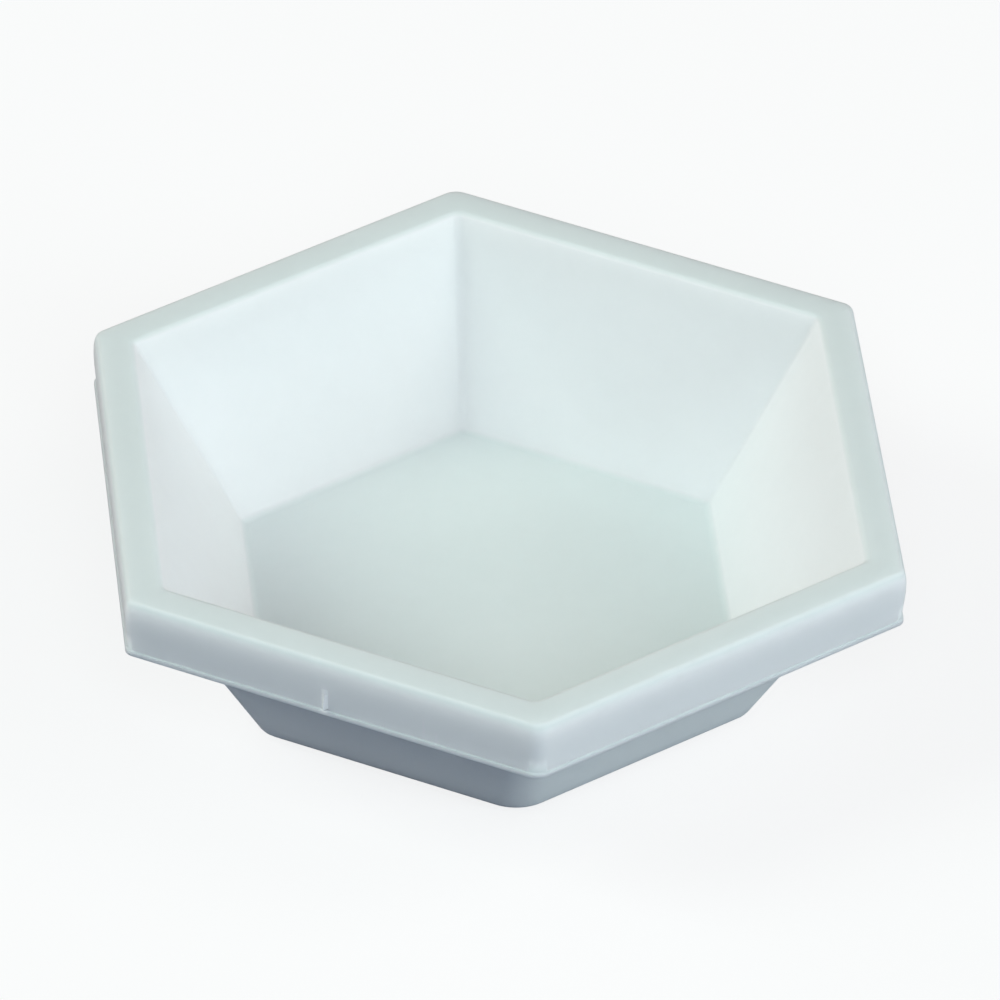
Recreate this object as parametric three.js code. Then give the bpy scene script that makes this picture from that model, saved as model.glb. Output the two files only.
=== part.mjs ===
// A weighing boat: a thin six-sided plastic dish, moulded in one piece.
// Millimetres, +Z up. The base stands on z = 0 with the origin at its middle.
// The two side walls face X, and the two pouring tips point along Y.

import * as THREE from "three";

// Overall size.
const ACROSS_FLATS = 64.4; // before the rim is rolled, which takes 0.4 off
const HEIGHT = 18.4;

// Rim: a flat flange whose outer edge rolls over into a lip.
const FLANGE_WIDTH = 3.4;
const LIP_DROP = 5.4;
const LIP_DRAFT = 0.45; // the lip leans in this much from the flange to its foot
const BEAD_HEIGHT = 0.45; // a fine bead runs round the foot of the lip
const BEAD_DEPTH = 0.18;

// Walls: the four end walls are a little steeper than the two side walls.
const SIDE_WALL_RUN = 9.1; // how far a side wall comes in between the mouth and the floor
const END_WALL_RUN = 7.6;
const WALL = 1.2; // thickness of the walls, the flange and the lip
const FLOOR = 1.7; // the floor is a little thicker
const WALL_ACROSS = 1.33; // the same thickness measured level, across the slope

// Corner roundings seen from above, on the four plain corners.
const RIM_CORNER = 0.9;
const LIP_INNER_CORNER = 0.3;
const BASE_CORNER = 2.2;
const NECK_CORNER = 1.1;
const MOUTH_CORNER = 0.6;
const CREASE_CORNER = 0.5;
const TIP_SHARE = 1.8; // the two pouring tips are rounder by this much
const CORNER_STEPS = 4;

// How far the rounding of each edge of the section reaches from its corner.
const BASE_EDGE = 0.9;
const NECK_EDGE = 0.25;
const LIP_INNER_EDGE = 0.35;
const BEAD_EDGE = 0.14;
const ROLL_ACROSS = 0.8; // the roll of the rim, in across the flange
const ROLL_DOWN = 3.2; // and down the lip
const MOUTH_EDGE = 0.35;
const FLOOR_EDGE = 0.6;
const EDGE_STEPS = 4;

const APOTHEM = ACROSS_FLATS / 2;
const WALLS = 6;
const WALL_TURN = Math.PI / 3;
const INNER_DEPTH = HEIGHT - FLOOR;

// One corner of the wall's section: its height, its inset from the rim's outline on an end wall and on a
// side wall, the plan rounding of the ring at that height, and the reach of the edge rounding before and
// after the corner.
function sectionCorner(height, endInset, sideInset, corner, before = 0, after = before) {
  return { ring: new THREE.Vector4(height, endInset, sideInset, corner), before, after };
}

// A corner on a sloping wall face, level with `height`; `inset` is where that face meets the rim's plane.
function onSlope(height, inset, corner, reach) {
  const down = (HEIGHT - height) / INNER_DEPTH;
  return sectionCorner(height, inset + down * END_WALL_RUN, inset + down * SIDE_WALL_RUN, corner, reach);
}

// A corner of the rim, where end and side walls are alike.
function onRim(height, inset, corner, before, after) {
  return sectionCorner(height, inset, inset, corner, before, after);
}

// The section, from the middle of the underside round the rim to the middle of the floor.
function wallSection() {
  const foot = HEIGHT - LIP_DROP;
  const beadTop = foot + BEAD_HEIGHT;
  const beadFace = LIP_DRAFT - BEAD_DEPTH;
  return [
    onRim(0, APOTHEM, 0),
    onSlope(0, FLANGE_WIDTH - WALL_ACROSS, BASE_CORNER, BASE_EDGE),
    onSlope(HEIGHT - WALL, FLANGE_WIDTH - WALL_ACROSS, NECK_CORNER, NECK_EDGE),
    onRim(HEIGHT - WALL, WALL, LIP_INNER_CORNER, LIP_INNER_EDGE),
    onRim(foot, WALL + LIP_DRAFT, LIP_INNER_CORNER, BEAD_EDGE),
    onRim(foot, beadFace, RIM_CORNER, BEAD_EDGE),
    onRim(beadTop, beadFace, RIM_CORNER, BEAD_EDGE),
    onRim(beadTop + BEAD_EDGE, LIP_DRAFT, RIM_CORNER, BEAD_EDGE),
    onRim(HEIGHT, 0, RIM_CORNER, ROLL_DOWN, ROLL_ACROSS),
    onSlope(HEIGHT, FLANGE_WIDTH, MOUTH_CORNER, MOUTH_EDGE),
    onSlope(FLOOR, FLANGE_WIDTH, CREASE_CORNER, FLOOR_EDGE),
    onRim(FLOOR, APOTHEM, 0),
  ];
}

// The rings of the section, with each corner that has a reach eased into a short curve.
function ringsOf(corners) {
  return corners.flatMap(({ ring, before, after }, i) => {
    if (!before) return [ring];
    const start = towards(ring, corners[i - 1].ring, before);
    const end = towards(ring, corners[i + 1].ring, after);
    return Array.from({ length: EDGE_STEPS + 1 }, (_, step) => {
      const t = step / EDGE_STEPS;
      return start.clone().lerp(ring, t).lerp(ring.clone().lerp(end, t), t);
    });
  });
}

function towards(from, to, reach) {
  const distance = Math.hypot(to.x - from.x, to.y - from.y);
  return from.clone().lerp(to, reach / distance);
}

// Point `index` of the outline of a ring. Each pair of neighbouring walls meets in an arc.
function outlinePoint(ring, index) {
  const [, endInset, sideInset, corner] = ring.toArray();
  const wall = Math.floor(index / (CORNER_STEPS + 1)) % WALLS;
  const step = index % (CORNER_STEPS + 1);
  const isTip = wall % 3 === 1;
  const radius = isTip ? corner * TIP_SHARE : corner;
  const reachOf = (i) => APOTHEM - (i % 3 === 0 ? sideInset : endInset) - radius;
  const here = reachOf(wall);
  const next = reachOf(wall + 1);
  // The arc's centre is where the two walls would meet if both were moved in by the radius.
  const alongHere = (here - next * Math.cos(WALL_TURN)) / Math.sin(WALL_TURN) ** 2;
  const alongNext = (next - here * Math.cos(WALL_TURN)) / Math.sin(WALL_TURN) ** 2;
  const facing = wall * WALL_TURN;
  const turned = facing + (step / CORNER_STEPS) * WALL_TURN;
  return new THREE.Vector2(
    alongHere * Math.cos(facing) + alongNext * Math.cos(facing + WALL_TURN) + radius * Math.cos(turned),
    alongHere * Math.sin(facing) + alongNext * Math.sin(facing + WALL_TURN) + radius * Math.sin(turned),
  );
}

// The section is turned once round as a lathe would, then each ring is drawn out to its six walls.
function boatGeometry() {
  const rings = ringsOf(wallSection());
  const profile = rings.map((ring) => new THREE.Vector2(APOTHEM - ring.y, ring.x));
  const around = WALLS * (CORNER_STEPS + 1);
  const geometry = new THREE.LatheGeometry(profile, around);
  const position = geometry.getAttribute("position");
  for (let index = 0; index <= around; index += 1) {
    rings.forEach((ring, level) => {
      const point = outlinePoint(ring, index % around);
      position.setXYZ(index * rings.length + level, point.x, point.y, ring.x);
    });
  }
  geometry.computeVertexNormals();
  return geometry;
}

const milkyPlastic = new THREE.MeshStandardMaterial({
  name: "milky_plastic",
  color: new THREE.Color(0.86, 0.91, 0.92),
  roughness: 0.42,
  metalness: 0,
});

const boat = new THREE.Mesh(boatGeometry(), milkyPlastic);
boat.name = "weighing_boat";

const weighingBoat = new THREE.Group();
weighingBoat.add(boat);

export default weighingBoat;
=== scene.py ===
# Weighing boat: a thin six-sided dish in milky plastic, on a pale studio floor.
import math

import bmesh
import bpy
from mathutils import Matrix, Vector


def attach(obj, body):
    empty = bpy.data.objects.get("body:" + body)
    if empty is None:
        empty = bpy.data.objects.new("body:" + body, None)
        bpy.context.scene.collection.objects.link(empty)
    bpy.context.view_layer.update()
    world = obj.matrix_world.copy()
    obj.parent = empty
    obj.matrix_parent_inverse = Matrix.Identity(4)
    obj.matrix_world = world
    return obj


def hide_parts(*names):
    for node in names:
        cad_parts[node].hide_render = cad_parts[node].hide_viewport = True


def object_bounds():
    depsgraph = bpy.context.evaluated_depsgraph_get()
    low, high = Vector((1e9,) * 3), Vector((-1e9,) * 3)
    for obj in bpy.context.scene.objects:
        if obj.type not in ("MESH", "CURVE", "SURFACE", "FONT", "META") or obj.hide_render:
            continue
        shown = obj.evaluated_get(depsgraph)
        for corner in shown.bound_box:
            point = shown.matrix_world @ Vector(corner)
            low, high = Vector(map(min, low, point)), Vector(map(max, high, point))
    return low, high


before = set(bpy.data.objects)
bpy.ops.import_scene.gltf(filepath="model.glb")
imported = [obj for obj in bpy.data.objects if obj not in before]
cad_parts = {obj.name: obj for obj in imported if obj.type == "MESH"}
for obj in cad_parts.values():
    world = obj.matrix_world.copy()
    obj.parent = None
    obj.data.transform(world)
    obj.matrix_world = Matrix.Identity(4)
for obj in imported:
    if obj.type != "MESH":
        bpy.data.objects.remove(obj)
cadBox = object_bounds()
mm = 0.001


class Wire:
    # one output of a node, which takes part in sums
    def __init__(self, shader, socket):
        self.shader = shader
        self.socket = socket

    def sum(self, operation, first, second):
        return self.shader.add("ShaderNodeMath", {"operation": operation}, {0: first, 1: second})

    def __add__(self, other):
        return self.sum("ADD", self, other)

    def __radd__(self, other):
        return self.sum("ADD", other, self)

    def __sub__(self, other):
        return self.sum("SUBTRACT", self, other)

    def __rsub__(self, other):
        return self.sum("SUBTRACT", other, self)

    def __mul__(self, other):
        return self.sum("MULTIPLY", self, other)

    def __rmul__(self, other):
        return self.sum("MULTIPLY", other, self)

    def __abs__(self):
        return self.shader.add("ShaderNodeMath", {"operation": "ABSOLUTE"}, {0: self})


class Shader:
    # a material; every node in it is made by add
    def __init__(self, name):
        self.material = bpy.data.materials.new(name)
        self.material.use_nodes = True
        self.tree = self.material.node_tree
        self.tree.nodes.clear()

    def add(self, kind, settings=None, inputs=None, out=0):
        node = self.tree.nodes.new(kind)
        for name, value in (settings or {}).items():
            setattr(node, name, value)
        for key, value in (inputs or {}).items():
            if isinstance(value, Wire):
                self.tree.links.new(value.socket, node.inputs[key])
            else:
                node.inputs[key].default_value = value
        return Wire(self, node.outputs[out]) if node.outputs else node

    def ramp(self, value, start, end):
        # a straight run between two (value, result) pairs, held level outside them
        return self.add("ShaderNodeMapRange", {"clamp": True},
                        {0: value, 1: start[0], 2: end[0], 3: start[1], 4: end[1]})

    def blend(self, factor, first, second, mode="MIX"):
        return self.add("ShaderNodeMix", {"data_type": "RGBA", "blend_type": mode},
                        {0: factor, 6: first, 7: second}, out=2)

    def part(self, vector, axis):
        return self.add("ShaderNodeSeparateXYZ", None, {0: vector}, out="XYZ".index(axis))

    def largest(self, values):
        best, *others = values
        for other in others:
            best = best.sum("MAXIMUM", best, other)
        return best

    def noise(self, place, grain):
        return self.add("ShaderNodeTexNoise", None, {
            "Vector": place, "Scale": grain["scale"], "Detail": grain["detail"],
            "Roughness": grain["roughness"]})


camera = {"azimuth": -6.72, "elevation": 37.58, "roll": 1.93, "distance": 1.015, "lens": 443,
          "right": 0.33 * mm, "down": 4.114 * mm, "farthest": 20}


def placeCamera():
    lens = bpy.data.cameras.new("camera")
    lens.lens = camera["lens"]
    lens.clip_end = camera["farthest"]
    eye = bpy.data.objects.new("camera", lens)
    bpy.context.scene.collection.objects.link(eye)
    turn = (Matrix.Rotation(math.radians(camera["azimuth"]), 4, "Z")
            @ Matrix.Rotation(math.radians(90 - camera["elevation"]), 4, "X")
            @ Matrix.Rotation(math.radians(camera["roll"]), 4, "Z"))
    rimMiddle = Vector((0, 0, cadBox[1][2]))
    aim = rimMiddle + turn.to_3x3() @ Vector((camera["right"], -camera["down"], 0))
    back = turn.to_3x3() @ Vector((0, 0, camera["distance"]))
    eye.matrix_world = Matrix.Translation(aim + back) @ turn
    bpy.context.scene.camera = eye
    print("camera placed")


# Painted light and shade in the base colour: level faces are painted greener and darker than the sloping
# walls, the flange darker still as painted shade, and the upright lip lighter as painted light.
# A face is level or upright by the Z of its normal, and on the flange or the lip by where it lies.
milk = {"level": (0.80, 0.88, 0.865, 1), "flange": (0.75, 0.83, 0.815, 1),
        "slope": (0.85, 0.875, 0.875, 1), "lip": (0.97, 1, 0.98, 1),
        "levelFrom": 0.6, "levelTo": 0.95, "uprightTo": 0.05, "uprightFrom": 0.45,
        "flangeFrom": 1.5 * mm, "flangeTo": 0.3 * mm, "lipFrom": 1.6 * mm, "lipTo": 0.8 * mm,
        "rough": 0.52, "speckRough": 0.1, "cloudRough": 0.06,
        "glow": 0.8, "glowScale": 2.4 * mm, "bend": 1.5,
        "shade": 0.955, "cloudShade": 0.06, "speckShade": 0.03,
        "cloudHeight": 0.6, "speckHeight": 0.12, "peelHeight": 0.03, "bump": 0.35, "bumpDepth": 0.12 * mm,
        # white for the scratches, and for the painted glint on the moulding mark
        "scuffAndGlint": (1, 1, 1, 1), "scuffRough": 0.3}
cloudGrain = {"scale": 55, "detail": 3, "roughness": 0.6}
speckGrain = {"scale": 520, "detail": 4, "roughness": 0.65}
peelGrain = {"scale": 1500, "detail": 2, "roughness": 0.5}


def facingWall(s, facing):
    # the object's coordinates turned so that X points out through one wall and Y runs along it
    return s.add("ShaderNodeVectorRotate", {"rotation_type": "Z_AXIS"},
                 {"Vector": s.add("ShaderNodeTexCoord", out="Object"), "Angle": -math.radians(facing)})


def nearRim(s, outward):
    # 1 on the lip and 0 further in
    edge = cadBox[1][0]
    return s.ramp(outward, (edge - milk["lipFrom"], 0), (edge - milk["lipTo"], 1))


def paintedLightTint(s, place):
    # painted light and shade: the plastic's pale colour is made lighter or darker by which way a face looks
    # and where it lies
    facing = s.part(s.add("ShaderNodeTexCoord", out="Normal"), "Z")
    top = cadBox[1][2]
    high = s.ramp(s.part(place, "Z"), (top - milk["flangeFrom"], 0), (top - milk["flangeTo"], 1))
    level = s.ramp(facing, (milk["levelFrom"], 0), (milk["levelTo"], 1))
    upright = s.ramp(facing, (milk["uprightTo"], 1), (milk["uprightFrom"], 0))
    # painted shade on level faces, darker still on the flange, and painted light on the sloping walls
    dish = s.blend(level, milk["slope"], s.blend(high, milk["level"], milk["flange"]))
    # painted light on the upright lip
    rim = s.blend(upright, milk["flange"], milk["lip"])
    # a wall and the one across from it share a turn
    outward = s.largest([abs(s.part(facingWall(s, turn), "X")) for turn in (0, 60, 120)])
    return s.blend(nearRim(s, outward), dish, rim)


def stroke(s, across, up, scuffAndGlint):
    # an upright white stroke, strongest in its middle and faded at its ends; most are scratches, and the
    # one over the moulding mark is also a painted glint
    middle = (scuffAndGlint["low"] + scuffAndGlint["high"]) / 2
    reach = (scuffAndGlint["high"] - scuffAndGlint["low"]) / 2
    side = s.ramp(abs(across - scuffAndGlint["across"]), (scuffAndGlint["width"] / 2, 0), (0, 1))
    return side * s.ramp(abs(up - middle), (reach, 0), (reach * mark["fade"], 1)) * scuffAndGlint["strength"]


def scratchesAndGlint(s):
    # where the scratches and the painted glint lie, on the lip of the wall that holds the moulding mark
    wall = facingWall(s, mark["facing"])
    up = s.part(wall, "Z") - (cadBox[1][2] - boat["lipDrop"])
    across = s.part(wall, "Y")
    strokes = s.largest([stroke(s, across, up, scuffAndGlint) for scuffAndGlint in mark["scuffsAndGlint"]])
    return nearRim(s, s.part(wall, "X")) * strokes


def milkyPlastic():
    s = Shader("milkyPlastic")
    place = s.add("ShaderNodeTexCoord", out="Object")
    cloud, speck, peel = [s.noise(place, grain) for grain in (cloudGrain, speckGrain, peelGrain)]
    shade = milk["shade"] + cloud * milk["cloudShade"] + speck * milk["speckShade"]
    grey = s.add("ShaderNodeCombineColor", None, {0: shade, 1: shade, 2: shade})
    colour = s.blend(1, paintedLightTint(s, place), grey, "MULTIPLY")
    height = cloud * milk["cloudHeight"] + speck * milk["speckHeight"] + peel * milk["peelHeight"]
    bump = s.add("ShaderNodeBump", None, {
        "Strength": milk["bump"], "Distance": milk["bumpDepth"], "Height": height})
    roughness = milk["rough"] + speck * milk["speckRough"] + cloud * milk["cloudRough"]
    body = s.add("ShaderNodeBsdfPrincipled", {"subsurface_method": "RANDOM_WALK"}, {
        "Base Color": colour, "Roughness": roughness, "Normal": bump, "IOR": milk["bend"],
        "Subsurface Weight": milk["glow"], "Subsurface Radius": (1, 1, 1),
        "Subsurface Scale": milk["glowScale"]})
    # a scratch shows white, with no light getting in beneath it; the broad white stroke over the moulding
    # mark is also a painted glint
    scratchAndGlint = s.add("ShaderNodeBsdfPrincipled", None, {
        "Base Color": milk["scuffAndGlint"], "Roughness": milk["scuffRough"], "Normal": bump, "IOR": milk["bend"]})
    both = s.add("ShaderNodeMixShader", None, {0: scratchesAndGlint(s), 1: body, 2: scratchAndGlint})
    s.add("ShaderNodeOutputMaterial", None, {"Surface": both})
    return s.material


# Insets are measured level from the rim's outline, and reaches run along the section from each corner.
boat = {"flangeWidth": 3.4 * mm, "sideWallRun": 9.1 * mm, "endWallRun": 7.6 * mm, "wall": 1.2 * mm,
        "floor": 1.7 * mm, "wallAcross": 1.33 * mm, "lipDrop": 5.4 * mm, "lipDraft": 0.45 * mm,
        "rollAcross": 0.8 * mm, "rollDown": 3.2 * mm, "rollSteps": 12,
        "beadHeight": 0.45 * mm, "beadDepth": 0.17 * mm, "beadEdge": 0.12 * mm,
        "rimCorner": 0.9 * mm, "lipInnerCorner": 0.3 * mm, "neckCorner": 1.1 * mm, "baseCorner": 2.2 * mm,
        "mouthCorner": 0.6 * mm, "creaseCorner": 0.5 * mm, "tipShare": 1.8, "cornerSteps": 10,
        "baseEdge": 0.8 * mm, "lipInnerEdge": 0.3 * mm,
        "mouthEdge": 0.4 * mm, "floorEdge": 0.55 * mm, "edgeSteps": 5, "walls": 6}
# A small upright ridge on the lip of one front wall, left by the mould, with faint scratches beside it and
# a broad white stroke over it that is a painted glint.
# Places are measured across that wall from its middle, and up from the foot of the lip.
mark = {"facing": 240, "across": -0.6 * mm, "width": 0.56 * mm, "low": 0.7 * mm, "high": 2.6 * mm,
        "proud": 0.42 * mm, "fade": 0.6,
        "scuffsAndGlint": [
            # the first stroke lies over the ridge: a scratch that is also the ridge's painted glint
            {"across": -0.6 * mm, "width": 1.1 * mm, "low": -0.2 * mm, "high": 3.4 * mm, "strength": 1},
            {"across": 8.2 * mm, "width": 0.4 * mm, "low": 0.7 * mm, "high": 3.0 * mm, "strength": 0.7},
            {"across": 9.3 * mm, "width": 0.4 * mm, "low": 0.4 * mm, "high": 1.9 * mm, "strength": 0.6}]}


def lipHeight():
    return boat["lipDrop"] - boat["beadHeight"] - boat["beadEdge"]


def rollInset():
    # how far in the lip has leaned where the roll of the rim meets it
    return boat["lipDraft"] * boat["rollDown"] / lipHeight()


def boatSection():
    # each ring: height, inset of the end walls, inset of the side walls, corner rounding, edge rounding
    top = cadBox[1][2]
    outer = boat["flangeWidth"] - boat["wallAcross"]
    foot = top - boat["lipDrop"]
    beadFace = boat["lipDraft"] - boat["beadDepth"]

    def onSlope(height, inset, corner, edge):
        down = (top - height) / (top - boat["floor"])
        return height, inset + down * boat["endWallRun"], inset + down * boat["sideWallRun"], corner, edge

    def onRim(height, inset, corner, edge):
        return height, inset, inset, corner, edge

    return [
        onSlope(0, outer, boat["baseCorner"], boat["baseEdge"]),
        onSlope(top - boat["wall"], outer, boat["neckCorner"], 0),
        onRim(top - boat["wall"], boat["wall"], boat["lipInnerCorner"], boat["lipInnerEdge"]),
        onRim(foot, boat["wall"] + boat["lipDraft"], boat["lipInnerCorner"], boat["beadEdge"]),
        onRim(foot, beadFace, boat["rimCorner"], boat["beadEdge"]),
        onRim(foot + boat["beadHeight"], beadFace, boat["rimCorner"], boat["beadEdge"]),
        onRim(top - lipHeight(), boat["lipDraft"], boat["rimCorner"], 0),
        *rollOver(onRim(top - boat["rollDown"], rollInset(), boat["rimCorner"], 0),
                  onRim(top, 0, boat["rimCorner"], 0),
                  onRim(top, boat["rollAcross"], boat["rimCorner"], 0)),
        onSlope(top, boat["flangeWidth"], boat["mouthCorner"], boat["mouthEdge"]),
        onSlope(boat["floor"], boat["flangeWidth"], boat["creaseCorner"], boat["floorEdge"]),
    ]


def rollOver(low, corner, flat):
    # rings along the smooth roll of the rim, from the lip up to the flat of the flange
    rings = []
    for step in range(boat["rollSteps"] + 1):
        t = step / boat["rollSteps"]
        shares = ((1 - t) ** 2, 2 * t * (1 - t), t ** 2)
        rings.append([sum(share * value for share, value in zip(shares, values))
                      for values in zip(low, corner, flat)])
    return rings


def placeRing(verts, apothem, ring):
    # six walls, with an arc where two neighbours meet; the first corner is the +Y tip
    height, endInset, sideInset, corner, _ = ring
    turn = math.radians(360 / boat["walls"])
    for i, vert in enumerate(verts):
        number, step = divmod(i, boat["cornerSteps"] + 1)
        radius = corner * (boat["tipShare"] if number % 3 == 0 else 1)
        facing = turn * (number + 1)
        reach = [apothem - radius - (sideInset if (number + side) % 3 == 2 else endInset)
                 for side in (0, 1)]
        here = (reach[0] - reach[1] * math.cos(turn)) / math.sin(turn) ** 2
        there = (reach[1] - reach[0] * math.cos(turn)) / math.sin(turn) ** 2
        on = facing + turn * step / boat["cornerSteps"]
        vert.co = (here * math.cos(facing) + there * math.cos(facing + turn) + radius * math.cos(on),
                   here * math.sin(facing) + there * math.sin(facing + turn) + radius * math.sin(on),
                   height)


def raiseMark(bm, apothem):
    # three upright cuts in the lip and one across its foot, then the middle is drawn out to a crisp ridge
    # that fades upwards
    turn = Matrix.Rotation(math.radians(mark["facing"]), 3, "Z")
    outward, along = turn @ Vector((1, 0, 0)), turn @ Vector((0, 1, 0))
    foot = cadBox[1][2] - boat["lipDrop"]
    low, high = foot + mark["low"], foot + mark["high"]
    lipInside = apothem - boat["wall"]
    hair = 0.001 * mm

    def cut(point, direction):
        lip = [f for f in bm.faces
               if f.normal.dot(outward) > 0.5 and f.calc_center_median().dot(outward) > lipInside
               and f.calc_center_median().z > foot + boat["beadHeight"]
               and min(v.co.z for v in f.verts) < high]
        if direction.z:
            lip = [f for f in lip
                   if abs(f.calc_center_median().dot(along) - mark["across"]) < mark["width"] / 2]
        around = {v for f in lip for v in f.verts} | {e for f in lip for e in f.edges}
        bmesh.ops.bisect_plane(bm, geom=[*lip, *around], dist=1e-7, plane_co=point, plane_no=direction)

    for side in (-0.5, 0.5, 0):
        cut(along * (mark["across"] + side * mark["width"]), along)
    cut(Vector((0, 0, low)), Vector((0, 0, 1)))
    for vert in bm.verts:
        onLip = vert.co.dot(outward) > lipInside and low - hair < vert.co.z < high
        if onLip and abs(vert.co.dot(along) - mark["across"]) < hair:
            vert.co += outward * mark["proud"] * (high - vert.co.z) / (high - low)
            for face in vert.link_faces:
                face.smooth = False


def makeBoat():
    # the section is drawn up ring by ring, from the underside round the rim to the floor of the bowl
    # the roll of the rim takes a little off the outline that the insets are measured from
    apothem = cadBox[1][0] + boat["rollAcross"] * rollInset() / (boat["rollAcross"] + rollInset())
    rings = boatSection()
    bm = bmesh.new()
    count = boat["walls"] * (boat["cornerSteps"] + 1)
    bmesh.ops.create_circle(bm, cap_ends=True, segments=count, radius=apothem)
    bm.verts.ensure_lookup_table()
    verts = list(bm.verts)
    placeRing(verts, apothem, rings[0])
    loops = []
    for ring in rings[1:]:
        edges = [bm.edges.get((verts[i], verts[i - 1])) for i in range(count)]
        loops.append(edges)
        made = set(bmesh.ops.extrude_edge_only(bm, edges=edges)["geom"])
        verts = [next(e.other_vert(v) for e in v.link_edges if e.other_vert(v) in made) for v in verts]
        placeRing(verts, apothem, ring)
    last = [bm.edges.get((verts[i], verts[i - 1])) for i in range(count)]
    loops.append(last)
    bmesh.ops.contextual_create(bm, geom=last)
    # round the edges that run right round, widest first
    for edges, ring in sorted(zip(loops, rings), key=lambda pair: -pair[1][4]):
        if ring[4]:
            bmesh.ops.bevel(bm, geom=edges, offset=ring[4], offset_type="OFFSET", affect="EDGES",
                            segments=boat["edgeSteps"], profile=0.5, material=-1, clamp_overlap=True)
    # the tightest corners have closed to a point
    bmesh.ops.remove_doubles(bm, verts=bm.verts, dist=0.001 * mm)
    bmesh.ops.recalc_face_normals(bm, faces=bm.faces)
    for face in bm.faces:
        face.smooth = True
    raiseMark(bm, apothem)
    mesh = bpy.data.meshes.new("moulded_boat")
    bm.to_mesh(mesh)
    bm.free()
    piece = bpy.data.objects.new("moulded_boat", mesh)
    bpy.context.scene.collection.objects.link(piece)
    normals = piece.modifiers.new("flatFaces", "WEIGHTED_NORMAL")
    normals.keep_sharp = True
    piece.data.materials.append(milkyPlastic())
    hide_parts("weighing_boat")
    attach(piece, "root")
    print("boat made,", len(mesh.polygons), "faces")


studio = {"floorSize": 3.0, "paper": (0.985, 0.99, 0.99, 1), "bounce": (0.13, 0.16, 0.225, 1), "lift": 0.82,
          "sky": (0.85, 0.93, 1.0, 1), "skyStrength": 0.03,
          "grainScale": 900, "grainDetail": 3, "grainBump": 0.03, "grainDepth": 0.1 * mm, "gap": 0.02 * mm,
          "lampReach": 1.4, "lampSize": 0.7}  # each lamp's reach is from the middle of the scene
lights = {
    "front": {"azimuth": -2, "elevation": 40, "power": 8.9, "colour": (0.85, 0.93, 1)},
    "left": {"azimuth": -90, "elevation": 42, "power": 9.0, "colour": (0.89, 1, 0.92)},
    "right": {"azimuth": 90, "elevation": 42, "power": 3.6, "colour": (1, 0.87, 0.82)},
    "lowRight": {"azimuth": 60, "elevation": 18, "power": 8.4, "colour": (0.85, 0.99, 1)},
    "backLeft": {"azimuth": -120, "elevation": 18, "power": 4.4, "colour": (1, 0.82, 0.82)},
    "backRight": {"azimuth": 120, "elevation": 18, "power": 1.3, "colour": (1, 0.82, 1)},
}


def makeFloor():
    s = Shader("studioPaper")
    place = s.add("ShaderNodeTexCoord", out="Object")
    grain = s.add("ShaderNodeTexNoise", None, {
        "Vector": place, "Scale": studio["grainScale"], "Detail": studio["grainDetail"]})
    bump = s.add("ShaderNodeBump", None, {
        "Strength": studio["grainBump"], "Distance": studio["grainDepth"], "Height": grain})
    paper = s.add("ShaderNodeBsdfDiffuse", None, {"Color": studio["paper"], "Normal": bump})
    glow = s.add("ShaderNodeEmission", None, {"Color": studio["paper"], "Strength": 1})
    seen = s.add("ShaderNodeMixShader", None, {0: studio["lift"], 1: paper, 2: glow})
    dull = s.add("ShaderNodeBsdfDiffuse", None, {"Color": studio["bounce"]})
    direct = s.add("ShaderNodeLightPath", out="Is Camera Ray")
    both = s.add("ShaderNodeMixShader", None, {0: direct, 1: dull, 2: seen})
    s.add("ShaderNodeOutputMaterial", None, {"Surface": both})
    bm = bmesh.new()
    bmesh.ops.create_grid(bm, x_segments=1, y_segments=1, size=studio["floorSize"] / 2)
    bmesh.ops.translate(bm, verts=bm.verts, vec=(0, 0, cadBox[0][2] - studio["gap"]))
    mesh = bpy.data.meshes.new("floor")
    bm.to_mesh(mesh)
    bm.free()
    floor = bpy.data.objects.new("floor", mesh)
    bpy.context.scene.collection.objects.link(floor)
    mesh.materials.append(s.material)
    print("floor laid")


def makeLights():
    for name, lamp in lights.items():
        data = bpy.data.lights.new(name, "AREA")
        data.shape = "DISK"
        data.size = studio["lampSize"]
        data.energy = lamp["power"]
        data.color = lamp["colour"]
        place = (Matrix.Rotation(math.radians(lamp["azimuth"]), 4, "Z")
                 @ Matrix.Rotation(math.radians(90 - lamp["elevation"]), 4, "X"))
        item = bpy.data.objects.new(name, data)
        item.matrix_world = place @ Matrix.Translation((0, 0, studio["lampReach"]))
        bpy.context.scene.collection.objects.link(item)
    world = bpy.data.worlds.new("sky")
    world.use_nodes = True
    air = world.node_tree.nodes["Background"]
    air.inputs["Color"].default_value = studio["sky"]
    air.inputs["Strength"].default_value = studio["skyStrength"]
    bpy.context.scene.world = world
    print("lights hung")


placeCamera()
makeBoat()
makeFloor()
makeLights()
bpy.context.scene.view_settings.view_transform = "Standard"
bpy.context.scene.view_settings.look = "None"
